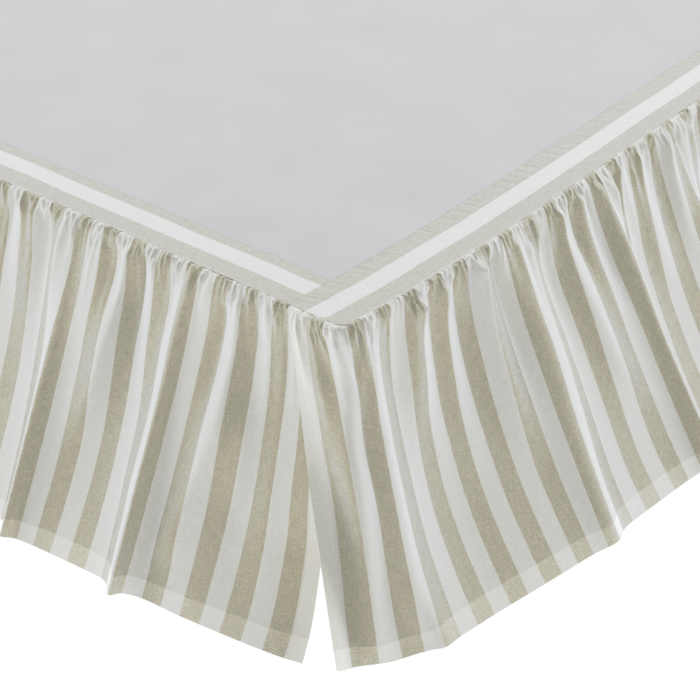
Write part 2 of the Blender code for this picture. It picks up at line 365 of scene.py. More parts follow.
def stretched_noise(start, place, scale, detail=2.0, offset=0.0):
    """Noise drawn out along one way of the cloth, for slubs and cloudy patches."""
    settings = {"Vector": place, "Scale": (*scale, 1.0), "Location": (offset, offset, 0.0)}
    moved = start.node("ShaderNodeMapping", (), settings)
    values = {"Vector": moved, "Scale": 1.0, "Detail": detail, "Roughness": 0.55}
    return start.node("ShaderNodeTexNoise", {"noise_dimensions": "2D"}, values)


def weave_height(start, place, across, down):
    """Height of a plain weave with slubs both ways and soft crinkles, and the slubs alone."""
    turns = 2 * math.pi / THREAD_PITCH
    over = (across * turns).maths("SINE", across * turns)
    under = (down * turns).maths("SINE", down * turns)
    threads = over * under
    thick_weft = stretched_noise(start, place, WEFT_SLUBS)
    thick_warp = stretched_noise(start, place, WARP_SLUBS, offset=3.7)
    crinkled = stretched_noise(start, place, CRINKLES, detail=4.0, offset=8.1)
    slubs = (thick_weft + thick_warp) * SLUB_HEIGHT
    height = threads * THREAD_HEIGHT + slubs + crinkled * CRINKLE_HEIGHT
    return height, thick_weft, thick_warp


def deck_finish():
    """Plain light grey cotton."""
    finish, start, shader = new_finish("grey cotton", roughness=0.95, sheen=0.1)
    place, across, down = cloth_place(start)
    height, weft, warp = weave_height(start, place, across, down)
    cloudy = stretched_noise(start, place, DECK_CLOUDS, detail=3.0)
    shade = (weft * 0.3 + warp * 0.3 + cloudy * 1.1 - 0.35).clamped()
    feed(shade.blend(DECK_DARK, DECK_LIGHT), shader, "Base Color")
    bump = start.node("ShaderNodeBump", (), {"Height": height, "Strength": 0.25, "Distance": MM})
    feed(bump, shader, "Normal")
    return finish


deck_start = FOOT_Y + FOOT_BAND_WIDTH + SEAM_GAP
deck_cut = DECK_WIDTH - 2 * BAND_WIDTH
deck_columns = round(deck_cut / DECK_CELL)
deck_rows = round((HEAD_Y - deck_start) / DECK_CELL)
share_x, deck_y = np.meshgrid(
    np.linspace(-1, 1, deck_columns + 1),
    np.linspace(deck_start, HEAD_Y, deck_rows + 1),
    indexing="ij",
)
deck_x = share_x * (HALF_WIDTH - BAND_WIDTH - SEAM_GAP + edge_bow(deck_y))
deck_points = np.stack([deck_x, deck_y, lying_height(deck_x, deck_y)], axis=-1)
deck = cloth_sheet("deck_cloth", deck_points, np.stack([deck_x, deck_y], axis=-1), THICKNESS)
deck.data.materials.append(deck_finish())
carry(deck, "deck_cloth", "deck_panel")

# ---- Bands
# Facing strips of the striped cloth, cut along the stripe: beige, white and beige, each 1 in
# wide. The side strips run through to the foot edge and the foot strip butts against them.
# Cells over a band's width, and their length along it.
BAND_CELLS = 24
BAND_STEP = 3.2 * MM
# The outer edge rolls down by this much, and the stripes wander by this much over this length.
BAND_ROLL = 0.2 * MM
BAND_WANDER = 1.5 * MM
WANDER_LENGTH = 200 * MM
# Puckers along the inner edge, drawn up in sewing: their height and length, how fast they come
# and go over the band's width, and the share of them that the foot band has.
BAND_PUCKER = 0.9 * MM
PUCKER_LENGTH = 17 * MM
PUCKER_START = 10
PUCKER_FADE = 2.2
FOOT_PUCKER = 0.4
# Finer ones, in the finish alone: turns of the noise per metre, the stripe of the flat cloth
# where they end, their slant in degrees and their height.
FINE_PUCKERS = (13, 130)
FINE_END = 2.5
PUCKER_SLANT = 18.5
FINE_HEIGHT = 10.0
# Each yarn's colour seen face on, and a paler colour painted on where the cloth is seen aslant: a
# painted sheen that stands in for the lit sides of the folds.
# Then how far aslant the painted sheen starts and how far it runs.
WHITE = (0.80, 0.793, 0.74)
WHITE_PAINTED_SHEEN = (0.80, 0.80, 0.795)
BEIGE = (0.562, 0.528, 0.408)
BEIGE_PAINTED_SHEEN = (0.515, 0.512, 0.468)
PAINTED_SHEEN_START = 0.14
PAINTED_SHEEN_RANGE = 0.38
# How far a woven stripe wanders, the turns of that per metre, and how sharp its edge is.
STRIPE_WANDER = 0.7 * MM
WANDER_SCALE = (18, 18)
STRIPE_SHARPNESS = 14
# The yarn's speckle in turns per metre, its darkest shade, what the grain adds to that, and what
# it adds on beige alone.
SPECKLE = (650, 650)
DARKEST_YARN = 0.93
YARN_GRAIN = 0.13
BEIGE_GRAIN = 0.17
# A ruffle's drop and hems. Two layers of cloth look lighter, and beige looks paler there: partly
# the real double cloth, partly painted light bounced up from the floor.
DROP = 406 * MM
HEM = 23.5 * MM
TURNED_HEM = 22 * MM
HEM_SHARPNESS = 2000  # per metre: a hem's edge is half a millimetre wide
HEM_LIGHTER_AND_PAINTED_BOUNCE = 0.17
HEM_PALER_AND_PAINTED_BOUNCE = 0.12
TURNED_WHITE = (0.88, 0.868, 0.79)
# White stitches: their pitch, the share of it that shows thread, and half their width.
STITCH = 3.6 * MM
STITCH_SHARE = 0.7
STITCH_SHARPNESS = 9
STITCH_HALF_WIDTH = 0.6 * MM
STITCH_DARKER = 0.07
STITCH_PALER = 0.3


def stripe_mask(start, place, across):
    """1 on the beige stripes and 0 on the white ones, which wander a little as woven."""
    wander = stretched_noise(start, place, WANDER_SCALE, detail=1.0, offset=1.3)
    turn = (across + wander * STRIPE_WANDER) / (2 * STRIPE) + 0.25
    saw = turn.maths("FRACT", turn) - 0.5
    wave = saw.maths("ABSOLUTE", saw) * 4 - 1
    return (wave * STRIPE_SHARPNESS + 0.5).clamped()


def striped_finish(name, hemmed_width=None):
    """Yarn-dyed cotton in white and beige stripes that run down the flat cloth.

    A ruffle gives its flat width, and has a deep hem at its foot and a turned one at each end.
    """
    finish, start, shader = new_finish(name, roughness=0.85)
    place, across, down = cloth_place(start)
    height, weft, warp = weave_height(start, place, across, down)
    beige = stripe_mask(start, place, across)
    speckle = stretched_noise(start, place, SPECKLE, detail=1.0, offset=5.2)
    grain = ((weft + warp + speckle - 1.5) * 1.5 + 0.5).clamped()
    # Painted sheen: the yarn's colour turns paler where the cloth is seen aslant, standing in for
    # the lit sides of the folds.
    aslant = start.node("ShaderNodeLayerWeight", (), {"Blend": 0.5}, output="Facing")
    sheen = ((aslant - PAINTED_SHEEN_START) / PAINTED_SHEEN_RANGE).clamped()
    white = sheen.blend(WHITE, WHITE_PAINTED_SHEEN)
    tan = sheen.blend(BEIGE, BEIGE_PAINTED_SHEEN)
    shade = DARKEST_YARN + grain * YARN_GRAIN + beige * (grain - 0.5) * BEIGE_GRAIN
    if hemmed_width:
        hem, stitch, turned = hem_masks(across, down, hemmed_width)
        white = turned.blend(white, TURNED_WHITE)
        # The hem is painted lighter and paler: partly the double cloth, partly painted bounce
        # light from the floor.
        tan = (hem * HEM_PALER_AND_PAINTED_BOUNCE + stitch * STITCH_PALER).clamped().blend(tan, WHITE)
        shade = shade * (1 + hem * HEM_LIGHTER_AND_PAINTED_BOUNCE - stitch * STITCH_DARKER)
    else:
        height = height + fine_puckers(start, place, across)
    feed(beige.blend(white, tan).scaled(shade), shader, "Base Color")
    bump = start.node("ShaderNodeBump", (), {"Height": height, "Strength": 0.3, "Distance": MM})
    feed(bump, shader, "Normal")
    return finish


def fine_puckers(start, place, across):
    """Slanting puckers beside the deck, where the band's inner edge was drawn up in sewing."""
    turned = {"Vector": place, "Rotation": (0.0, 0.0, math.radians(-PUCKER_SLANT))}
    slanted = start.node("ShaderNodeMapping", (), turned)
    ridges = stretched_noise(start, slanted, FINE_PUCKERS, detail=1.5, offset=2.4)
    fade = (FINE_END - across / STRIPE).clamped()
    return (ridges - 0.5) * fade * FINE_HEIGHT


def hem_masks(across, down, width):
    """Where the foot hem lies, the stitches along its top, and the turned ends of the cloth."""
    into = down - (DROP - HEM)
    hem = (into * HEM_SHARPNESS).clamped()
    line = 1 - (into.maths("ABSOLUTE", into) / STITCH_HALF_WIDTH).clamped()
    step = across / STITCH
    dash = ((STITCH_SHARE - step.maths("FRACT", step)) * STITCH_SHARPNESS).clamped()
    near_end = ((TURNED_HEM - across) * HEM_SHARPNESS).clamped()
    far_end = ((across - (width - TURNED_HEM)) * HEM_SHARPNESS).clamped()
    return hem, line * dash, near_end + far_end


def smooth(x):
    """Soft step from 0 to 1."""
    x = np.clip(x, 0, 1)
    return x * x * (3 - 2 * x)


def band_points(start_y, end_y, inner, outer, puckered):
    """Points of a band that runs along +Y, between two lines given as functions of y."""
    steps = round((end_y - start_y) / BAND_STEP)
    share, y = np.meshgrid(
        np.linspace(0, 1, BAND_CELLS + 1), np.linspace(start_y, end_y, steps + 1), indexing="ij"
    )
    x = inner(y) + (outer(y) - inner(y)) * share
    near_deck = np.clip(1 - share * PUCKER_FADE, 0, 1) * smooth(share * PUCKER_START)
    slanted = y - share * STRIPE
    drawn_up = waves(slanted, slanted * 0, seed=21, longest=PUCKER_LENGTH, count=5)
    pucker = drawn_up * BAND_PUCKER * near_deck * puckered
    from_outer = (1 - share) * BAND_WIDTH
    rolled = BAND_ROLL * smooth(1 - from_outer / (2 * BAND_ROLL))
    return share, x, y, pucker - rolled


striped = striped_finish("striped cotton, bands")


def band_sheet(name, node, width, share, x, y, relief, length):
    """One band, at its relief above or below the lie of the cloth. length runs along it."""
    points = np.stack([x, y, lying_height(x, y) + relief], axis=-1)
    wander = BAND_WANDER * waves(length, length * 0, seed=33, longest=WANDER_LENGTH)
    flat = np.stack([4 * STRIPE - (1 - share) * width + wander, length], axis=-1)
    band = cloth_sheet(name, points, flat, THICKNESS)
    band.data.materials.append(striped)
    carry(band, "band_cloth", node)


def rounded_outer(y):
    """The outer line of a side band, with its rounded foot corner."""
    into = np.clip(CORNER_RADIUS - (y - FOOT_Y), 0, CORNER_RADIUS)
    rounding = CORNER_RADIUS - np.sqrt(CORNER_RADIUS**2 - into**2)
    return HALF_WIDTH + edge_bow(y) - rounding


for sign, name in ((1, "side_band_right"), (-1, "side_band_left")):
    share, x, y, relief = band_points(
        FOOT_Y, HEAD_Y, lambda y: HALF_WIDTH - BAND_WIDTH + edge_bow(y), rounded_outer, 1.0
    )
    band_sheet(f"{name}_cloth", name, BAND_WIDTH, share, x * sign, y, relief, y)
foot_half = HALF_WIDTH - BAND_WIDTH - SEAM_GAP
# The foot band is made along +Y as the others are, and then turned to lie along X.
share, out, across, relief = band_points(
    -foot_half,
    foot_half,
    lambda y: y * 0 - foot_band_high.y,
    lambda y: y * 0 - FOOT_Y,
    FOOT_PUCKER,
)
across = across * (1 + edge_bow(-out) / foot_half)
foot_place = share, across, -out, relief, across
band_sheet("foot_band_cloth", "foot_band", FOOT_BAND_WIDTH, *foot_place)

# ---- Ruffles
# Lengths of the striped cloth, gathered on to the outer edge of each band with the stripes
# down the drop. They flare to a deep sewn hem. The side ruffles turn the foot corners and lap
# over the free ends of the foot ruffle.
SOLID_CLOTH = 2 * MM  # thickness of the hanging cloth in the solids
# The lap stands this far out, over the foot ruffle. It is back at the seam this many millimetres
# past the corner.
LAP_STEP = 4.5 * MM
LAP_END = 2
# Under the seam the cloth puffs out, and above that it tucks in under the band behind a small
# uneven lip. Each has its size and the share of the drop where it is greatest or ends.
PUFF = 2.5 * MM
PUFF_SHARE = 0.04
TUCK = 1.3 * MM
TUCK_SHARE = 0.006
LIP = 1.4 * MM
LIP_SHARE = 0.0045
LIP_SPACING = 14 * MM
# Columns of cells are this wide round the near corner, and wider along the rest.
NEAR_COLUMN = 1.0 * MM
FAR_COLUMN = 2.5 * MM
# Cells across the cloth grow with depth: share of the drop where a zone ends, rows in the zone
# and its columns, as a multiple of the fine ones.
Zone = namedtuple("Zone", "end rows columns")
ZONES = (
    Zone(0.012, 5, 1), Zone(0.06, 11, 1), Zone(0.3, 18, 2), Zone(0.94, 24, 4), Zone(1.0, 3, 4),
)

# Each row is one line of cloth from seam to hem: stripes from the ruffle's end, distance of its
# top from the corner, place of its lower end along the edge and out from it, and how far its
# middle hangs inside a straight line. All but stripe are in millimetres.
FoldRow = namedtuple("FoldRow", "stripe seam hem_along hem_out sag")
SIDE_CORNER_FOLDS = (
    FoldRow(0.0, -66, -104, 72, 14),
    FoldRow(1.0, -41, -76, 80, 8),
    FoldRow(2.0, -20, -46, 90, -9),
    FoldRow(3.0, 4, -18, 101, 9),
    FoldRow(4.2, 27, 8, 119, 4),
    FoldRow(5.0, 45, 20, 133, 20),
    FoldRow(6.0, 66, 47, 136, 30),
    FoldRow(8.0, 109, 101, 147, 36),
    FoldRow(10.0, 152, 152, 157, 32),
    FoldRow(12.0, 195, 203, 168, 25),
    FoldRow(14.0, 238, 251, 180, 15),
    FoldRow(15.8, 277, 284, 193, 2),
)
FOOT_CORNER_FOLDS = (
    FoldRow(0.0, 22, -18, 100, 36),
    FoldRow(1.0, 37, 4, 107, 34),
    FoldRow(2.0, 55, 31, 112, 30),
    FoldRow(4.0, 94, 87, 121, 28),
    FoldRow(6.0, 135, 140, 130, 12),
    FoldRow(8.0, 177, 193, 137, 5),
    FoldRow(9.0, 199, 214, 149, 5),
    FoldRow(9.8, 216, 217, 166, 1),
)
# One more fold of a ruffle: stripe and seam run on from the last crest, hem_along is measured
# from the row's own seam point and hem_out from the ruffle's own valley line.
FOLD_SHAPE = (
    FoldRow(1.6, 35, -9, 0, 12),
    FoldRow(3.2, 69, -2, 3, 20),
    FoldRow(4.8, 104, 5, 8, 18),
    FoldRow(6.4, 139, 10, 14, 10),
    FoldRow(7.4, 160, 10, 20, 3),
    FoldRow(8.2, 177, 4, 31, 0),
)
# How the folds after the corner differ: how much further out and further along they lie, in
# millimetres, and how many times as wide they are.
FoldVariety = namedtuple("FoldVariety", "height drift width")
FOLD_VARIETY = (
    FoldVariety(3, 14, 1.06),
    FoldVariety(-4, 10, 1.04),
    FoldVariety(2, -1, 0.96),
    FoldVariety(-8, 2, 1.05),
    FoldVariety(0, 5, 0.94),
    FoldVariety(6, -4, 1.00),
    FoldVariety(-3, -2, 0.97),
)
# In millimetres, how far out the hem's valleys lie, how much less at each further fold of a side,
# and the gap to the head end. Then how many folds follow the corner.
SIDE_VALLEY = 182
SIDE_EASE = 3
FOOT_VALLEY = 140
HEAD_GAP = 4
SIDE_FOLDS = 10
FOOT_FOLDS = 6

# Soft ridges and troughs that run down from the gathers, crossing the stripes. top, middle and
# end are the stripes that the crease lies on at its start, half way and at its end. start and
# reach are the distance below the seam and the length, hold is the share of its length over which
# it keeps its height, width is the width at its widest and height how far it stands out, all in
# millimetres but the share; a trough has a height below 0.
Crease = namedtuple("Crease", "top middle end start reach hold width height")
CREASE_ROUNDNESS = 1.7
# A crease that starts less than this far below the seam rises within a short share of its reach,
# and within so many millimetres at most. Any other rises slowly.
SEAM_CREASE = 25
QUICK_RISE = 0.15
LONGEST_QUICK_RISE = 16
SLOW_RISE = 0.45
# A crease is this share of its width where it starts, and whole by this share of its reach.
THIN_START = 0.4
# It is worked out as far as this many widths to each side.
CREASE_EDGE = 3
SIDE_CREASES = (
    Crease(0.0, 0.0, 0.0, 120, 400, 0.95, 15, 4),
    Crease(1.1, 1.1, 1.1, 115, 330, 0.95, 15, -9),
    Crease(1.0, 1.0, 1.0, 3, 200, 0.6, 15, 2),
    Crease(0.3, 0.7, 1.0, 2, 120, 0.4, 9, 2.5),
    Crease(1.1, 1.4, 1.7, 30, 110, 0.4, 11, 3),
    Crease(2.0, 2.0, 2.0, 3, 180, 0.5, 14, -3),
    Crease(2.6, 2.6, 2.7, 3, 160, 0.5, 12, 6),
    Crease(1.9, 2.9, 4.5, 60, 340, 0.8, 20, 7),
    Crease(3.1, 3.3, 3.7, 3, 70, 0.4, 8, 2.5),
    Crease(3.6, 3.3, 3.2, 26, 90, 0.5, 9, 2.5),
    Crease(3.8, 3.9, 3.95, 5, 330, 0.6, 18, 5),
    Crease(6.0, 6.0, 6.0, 5, 200, 0.4, 20, -5),
    Crease(7.8, 7.3, 7.0, 8, 240, 0.45, 20, 6),
    Crease(7.6, 8.0, 8.3, 180, 300, 0.9, 55, -6),
    Crease(8.1, 8.1, 8.1, 5, 280, 0.4, 14, 4),
    Crease(8.2, 8.2, 8.2, 10, 180, 0.5, 52, 7),
    Crease(8.9, 8.9, 9.0, 5, 200, 0.4, 17, -5),
    Crease(10.1, 10.1, 10.1, 5, 260, 0.45, 17, 7),
    Crease(11.0, 11.0, 11.1, 5, 220, 0.4, 17, -5),
    Crease(12.0, 11.7, 11.4, 0, 90, 0.4, 9, 2.5),
    Crease(12.9, 13.0, 13.0, 5, 300, 0.5, 22, 14),
    Crease(14.0, 14.1, 14.2, 5, 230, 0.4, 18, -6),
    Crease(15.1, 15.2, 15.2, 5, 100, 0.4, 10, 3.5),
    Crease(15.9, 15.9, 16.0, 5, 260, 0.5, 18, 5),
    Crease(16.9, 17.0, 16.9, 20, 330, 0.5, 20, 6),
    Crease(18.3, 18.4, 18.5, 5, 210, 0.4, 18, -5),
    Crease(19.9, 20.5, 21.8, 5, 340, 0.55, 22, 9),
    Crease(20.0, 20.0, 19.8, 26, 350, 0.6, 50, 12),
    Crease(21.0, 21.2, 21.5, 5, 150, 0.4, 14, -4),
    Crease(21.9, 21.9, 22.0, 5, 240, 0.4, 16, 6),
    Crease(22.5, 22.7, 22.9, 5, 200, 0.4, 17, -5),
    Crease(23.6, 23.9, 24.2, 5, 240, 0.4, 17, 6),
    Crease(24.3, 25.6, 26.8, 5, 170, 0.4, 14, 5),
    Crease(25.4, 26.0, 26.5, 5, 230, 0.4, 19, -5),
    Crease(26.2, 26.6, 27.0, 5, 130, 0.4, 12, 4),
    Crease(27.2, 27.8, 28.3, 20, 230, 0.4, 16, 5),
    Crease(28.0, 28.3, 28.6, 5, 230, 0.4, 16, 6),
    Crease(29.4, 29.8, 30.0, 5, 200, 0.4, 18, -5),
)
FOOT_CREASES = (
    Crease(0.0, 0.0, 0.0, 200, 240, 0.6, 30, -14),
    Crease(0.8, 0.8, 0.8, 200, 230, 0.75, 60, -13),
    Crease(3.4, 3.3, 3.1, 40, 340, 0.6, 20, 6),
    Crease(3.8, 3.6, 3.5, 5, 130, 0.35, 11, 4),
    Crease(4.5, 4.2, 4.2, 5, 230, 0.5, 14, 5),
    Crease(5.0, 5.1, 5.3, 8, 120, 0.35, 14, -3),
    Crease(5.0, 5.0, 5.0, 110, 170, 0.5, 20, 9),
    Crease(6.2, 6.1, 6.1, 8, 260, 0.45, 15, 7),
    Crease(6.2, 6.7, 7.8, 60, 320, 0.8, 19, 10),
    Crease(7.0, 7.2, 7.4, 20, 170, 0.4, 15, -5),
    Crease(8.2, 8.4, 8.5, 3, 60, 0.35, 8, 3),
    Crease(9.5, 9.7, 9.9, 3, 150, 0.4, 14, 4),
    Crease(10.7, 10.8, 11.0, 3, 110, 0.4, 13, -4),
    Crease(11.4, 11.3, 11.2, 150, 320, 0.9, 24, 7),
    Crease(12.2, 12.1, 12.0, 3, 230, 0.4, 17, 7),
    Crease(13.0, 13.1, 13.2, 3, 180, 0.4, 16, -5),
    Crease(14.0, 14.7, 16.0, 3, 310, 0.6, 19, 9),
    Crease(14.7, 14.9, 15.0, 26, 260, 0.45, 36, 12),
    Crease(14.9, 15.1, 15.3, 3, 120, 0.4, 13, -4),
    Crease(15.9, 16.0, 16.0, 10, 170, 0.4, 16, 5),
    Crease(17.6, 17.7, 17.8, 3, 160, 0.4, 17, -4),
    Crease(19.0, 19.2, 19.4, 3, 200, 0.4, 18, 6),
    Crease(20.1, 20.3, 20.4, 3, 200, 0.4, 18, -5),
    Crease(21.1, 21.1, 21.1, 5, 230, 0.4, 18, 7),
    Crease(22.0, 22.1, 22.2, 3, 150, 0.4, 14, 4),
    Crease(22.8, 22.9, 23.0, 3, 100, 0.4, 10, -4),
)
# Past the near corner the creases go on without a plan: a usual one, how many stripes apart they
# lie, the share by which their measures vary at most, and how many stripes they lean.
FURTHER_CREASE = Crease(0, 0, 0, 4, 210, 0.4, 16, 6)
CREASE_SPACING = 0.85
CREASE_VARIETY = 0.45
CREASE_LEAN = 0.35
# Puckers that the gathering thread draws up, in sizes that merge on the way down: how far
# apart they start, how far they reach, how wide they are half way and how high, in millimetres,
# and how many stripes they wander.
Gathers = namedtuple("Gathers", "spacing reach width height lean")
GATHERS = (
    Gathers(4.5, (7, 26), 1.8, 1.5, 0.12),
    Gathers(9.5, (20, 75), 3.2, 2.9, 0.22),
    Gathers(22.0, (60, 190), 6.0, 3.0, 0.28),
)
# They vary between these shares of the usual, and are worked out this many stripes to each side.
SPACING_SPREAD = (0.5, 1.5)
HEIGHT_SPREAD = (0.4, 1.3)
WIDTH_SPREAD = (0.8, 1.3)
GATHER_EDGE = 1.5
GATHER_ROUNDNESS = 1.25
GATHER_HOLD = 0.25


def further_folds(rows, folds, end_crest, valley, ease, first_variety):
    """Rows for that many more folds, up to a crest at end_crest on the seam."""
    rows = list(rows)
    turn = [FOLD_VARIETY[(first_variety + n) % len(FOLD_VARIETY)] for n in range(folds)]
    run = end_crest - rows[-1].seam
    widths = sum(variety.width for variety in turn)
    last = FOLD_SHAPE[-1]
    for number, variety in enumerate(turn):
        crest = rows[-1]
        stretch = run * variety.width / widths / last.seam
        line = valley - ease * number
        for step in FOLD_SHAPE:
            seam = crest.seam + step.seam * stretch
            along = seam + step.hem_along + variety.drift
            out = line + step.hem_out * (1 + variety.height / last.hem_out)
            rows.append(FoldRow(crest.stripe + step.stripe, seam, along, out, step.sag))
    return rows


def side_rows(first_variety):
    """A side ruffle: the lapped corner, then even folds up to a plain hemmed end at the head."""
    end = (HEAD_Y - FOOT_Y) / MM - HEAD_GAP
    rows = further_folds(
        SIDE_CORNER_FOLDS, SIDE_FOLDS, end, SIDE_VALLEY, SIDE_EASE, first_variety
    )
    rows[-1] = FoldRow(rows[-1].stripe, end, end, rows[-2].hem_out, rows[-2].sag)
    return rows


def foot_rows():
    """The foot ruffle: a corner, even folds, and the same corner again at the other end."""
    width = DECK_WIDTH / MM
    end_crest = width - FOOT_CORNER_FOLDS[-1].seam
    rows = further_folds(
        FOOT_CORNER_FOLDS, FOOT_FOLDS, end_crest, FOOT_VALLEY, ease=0, first_variety=2
    )
    total = rows[-1].stripe + FOOT_CORNER_FOLDS[-1].stripe
    rows.pop()
    for row in reversed(FOOT_CORNER_FOLDS):
        along = width - row.hem_along
        rows.append(FoldRow(total - row.stripe, width - row.seam, along, row.hem_out, row.sag))
    return rows


def between(rows, stripe):
    """The row at any count of stripes, on a smooth curve through the given rows."""
    last = len(rows) - 1
    index = next((n for n in range(last) if stripe <= rows[n + 1].stripe), last - 1)
    near = [rows[min(max(index + n, 0), last)] for n in (-1, 0, 1, 2)]
    span = near[2].stripe - near[1].stripe
    share = (stripe - near[1].stripe) / span
    values = []
    # Each column by itself: a cubic from start to end, with the slope of its neighbours.
    for before, start, end, after in zip(*near):
        slope_in = (end - before) / max(near[2].stripe - near[0].stripe, span)
        slope_out = (after - start) / max(near[3].stripe - near[1].stripe, span)
        rise = end - start
        curve = (slope_in + slope_out) * span - 2 * rise
        bend = 3 * rise - (2 * slope_in + slope_out) * span
        values.append(start + slope_in * span * share + bend * share**2 + curve * share**3)
    return FoldRow(*values)


def side_seam(distance):
    """Point on the side seam line and its outward direction. Below 0 it is on the foot edge."""
    half_turn = CORNER_RADIUS * math.pi / 4
    if distance < -half_turn:
        return (HALF_WIDTH - CORNER_RADIUS + distance + half_turn, FOOT_Y), (0.0, -1.0)
    if distance < half_turn:
        turn = (distance + half_turn) / CORNER_RADIUS
        outward = (math.sin(turn), -math.cos(turn))
        centre = (HALF_WIDTH - CORNER_RADIUS, FOOT_Y + CORNER_RADIUS)
        return tuple(c + CORNER_RADIUS * o for c, o in zip(centre, outward)), outward
    y = FOOT_Y + CORNER_RADIUS + distance - half_turn
    return (HALF_WIDTH + float(edge_bow(y)), y), (1.0, 0.0)


def foot_seam(distance):
    """Point on the foot seam line, measured from the +X corner towards -X."""
    return (HALF_WIDTH - distance, FOOT_Y), (0.0, -1.0)


def side_hem(along, out):
    """Point under the side seam line, that far along it and out from it."""
    return HALF_WIDTH + out, FOOT_Y + along


def foot_hem(along, out):
    """Point under the foot seam line, that far along it and out from it."""
    return HALF_WIDTH - along, FOOT_Y - out


def cloth_line(row, shares, seam, hem, lapped):
    """Points of one line of cloth from the seam to the hem."""
    (top_x, top_y), (out_x, out_y) = seam(row.seam * MM)
    start = SOLID_CLOTH / 2 + SEAM_GAP
    lap = LAP_STEP * min(max((LAP_END - row.seam) * MM / CORNER_RADIUS, 0), 1) * lapped
    top_x += out_x * (start + lap)
    top_y += out_y * (start + lap)
    hem_x, hem_y = hem(row.hem_along * MM, row.hem_out * MM)
    reach = math.hypot(hem_x - top_x, hem_y - top_y)
    fall = math.sqrt(DROP**2 - reach**2)
    toward = ((hem_x - top_x) / reach, (hem_y - top_y) / reach)
    puff = PUFF * np.exp(1 - shares / PUFF_SHARE) * shares / PUFF_SHARE
    tuck = 1 - smooth(shares / TUCK_SHARE)
    puff = puff - (TUCK + lap) * tuck
    out = reach * shares - row.sag * MM * 4 * shares * (1 - shares)
    x = top_x + toward[0] * out + out_x * puff
    y = top_y + toward[1] * out + out_y * puff
    along = np.array(row.stripe * STRIPE)
    uneven = float(waves(along, along * 0, seed=41, longest=LIP_SPACING, count=4))
    lip = LIP * (1 + uneven) * np.exp(1 - shares / LIP_SHARE) * shares / LIP_SHARE
    return np.stack([x, y, SEAM_Z - fall * shares + lip], axis=-1)


def creases(stripes, shares, table, roundness=CREASE_ROUNDNESS):
    """Height of the ridges and troughs over the whole cloth. A low roundness is a sharp ridge."""
    height = np.zeros((len(stripes), len(shares)))
    depth = shares * DROP / MM
    for crease in table:
        inside = np.flatnonzero((depth >= crease.start) & (depth <= crease.start + crease.reach))
        t = (depth[inside] - crease.start) / crease.reach
        bend = crease.top + crease.end - 2 * crease.middle
        centre = crease.top + (4 * crease.middle - crease.end - 3 * crease.top) * t
        centre = centre + 2 * bend * t * t
        width = crease.width * (THIN_START + (1 - THIN_START) * smooth(t / THIN_START))
        rise = SLOW_RISE * crease.reach
        if crease.start < SEAM_CREASE:
            rise = min(LONGEST_QUICK_RISE, QUICK_RISE * crease.reach)
        fall = smooth((t - crease.hold) / (1 - crease.hold))
        swell = smooth(t * crease.reach / rise) * (1 - fall)
        edge = CREASE_EDGE * crease.width * MM / STRIPE
        near = np.flatnonzero((stripes > centre.min() - edge) & (stripes < centre.max() + edge))
        across = np.abs((stripes[near][:, None] - centre) * STRIPE / MM / width)
        height[np.ix_(near, inside)] += crease.height * MM * swell * np.exp(-across ** roundness)
    return height


def further_creases(start, end, seed):
    """Ridges and troughs in turn, drawn at random between two places on a ruffle."""
    draw = random.Random(seed)
    usual = FURTHER_CREASE
    rows = []
    place = start
    sign = 1
    while place < end:
        vary = [1 + CREASE_VARIETY * draw.uniform(-1, 1) for _ in range(4)]
        middle = place + draw.gauss(0, CREASE_LEAN)
        last = middle + draw.gauss(0, CREASE_LEAN)
        reach, width = usual.reach * vary[0], usual.width * vary[1]
        height = sign * usual.height * vary[2]
        rows.append(Crease(place, middle, last, usual.start, reach, usual.hold, width, height))
        place += CREASE_SPACING * vary[3]
        sign = -sign
    return tuple(rows)


def mirrored(table, total, reach):
    """The creases of the first few stripes again, at the other end of the ruffle."""
    return tuple(
        row._replace(top=total - row.top, middle=total - row.middle, end=total - row.end)
        for row in table if row.top < reach
    )


def gathers(stripes, shares, total, seed):
    """Height of the puckers under the seam: narrow ridges with sharp valleys between them."""
    draw = random.Random(seed)
    height = np.zeros((len(stripes), len(shares)))
    for size in GATHERS:
        layer = np.zeros_like(height)
        place = 0.0
        while place < total:
            place += size.spacing * MM / STRIPE * draw.uniform(*SPACING_SPREAD)
            reach = draw.uniform(*size.reach)
            middle = place + draw.gauss(0, size.lean)
            end = middle + draw.gauss(0, size.lean)
            tall = size.height * draw.uniform(*HEIGHT_SPREAD)
            width = size.width * draw.uniform(*WIDTH_SPREAD)
            pucker = Crease(place, middle, end, -1, reach, GATHER_HOLD, width, tall)
            low, high = np.searchsorted(stripes, (place - GATHER_EDGE, place + GATHER_EDGE))
            patch = creases(stripes[low:high], shares, (pucker,), GATHER_ROUNDNESS)
            layer[low:high] = np.maximum(layer[low:high], patch)
        height += layer
    return height


def drop_shares():
    """Places down the drop, zone by zone, and the width of the cells at each of them."""
    shares = [0.0]
    widths = [1]
    for zone in ZONES:
        start = shares[-1]
        for n in range(1, zone.rows + 1):
            shares.append(start + (zone.end - start) * n / zone.rows)
            widths.append(zone.columns)
    return np.array(shares), widths


def row_faces(index, row, upper, lower):
    """Faces from one row to the next, whose cells are as wide or twice as wide."""
    faces = []
    for column in range(0, len(index) - 1, lower):
        left, right = index[column, row], index[column + lower, row]
        low_left, low_right = index[column, row + 1], index[column + lower, row + 1]
        if upper == lower:
            faces.append((left, low_left, low_right, right))
            continue
        middle = index[column + upper, row]
        faces.append((left, low_left, middle))
        faces.append((middle, low_left, low_right))
        faces.append((middle, low_right, right))
    return faces


